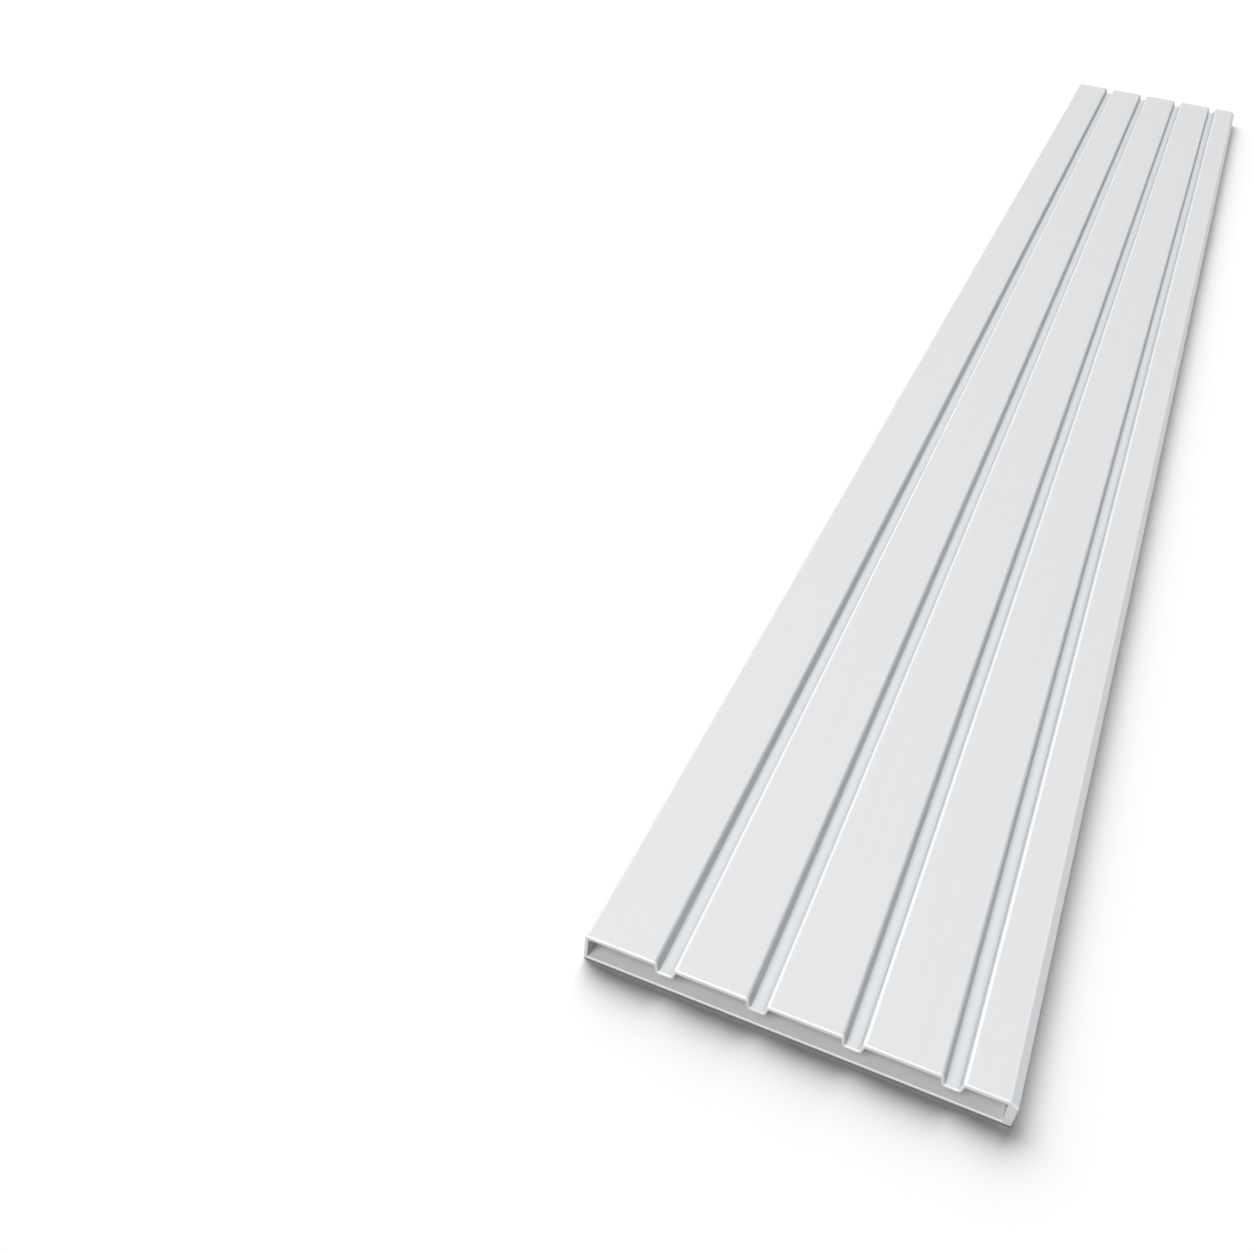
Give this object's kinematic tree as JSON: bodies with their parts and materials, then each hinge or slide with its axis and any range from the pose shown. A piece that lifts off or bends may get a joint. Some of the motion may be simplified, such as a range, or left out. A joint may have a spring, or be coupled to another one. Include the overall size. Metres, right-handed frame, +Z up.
{
  "type": "grooved pvc panel",
  "caption": "Long hollow PVC wall panel with a flat back, a face of wide strips divided by leaning-wall grooves, a plain edge, a bevelled edge and open sawn ends.",
  "frame": {"origin": "middle of the flat back face, on the level surface that the panel lies on", "axes": "+Z up out of the grooved face, +Y along the length, +X across the width towards the bevelled edge"},
  "size_m": [0.15, 1.2, 0.012],
  "materials": {
    "pvc": "satin"
  },
  "bodies": {
    "root": {"grooved_panel": "pvc"}
  },
  "joints": []
}
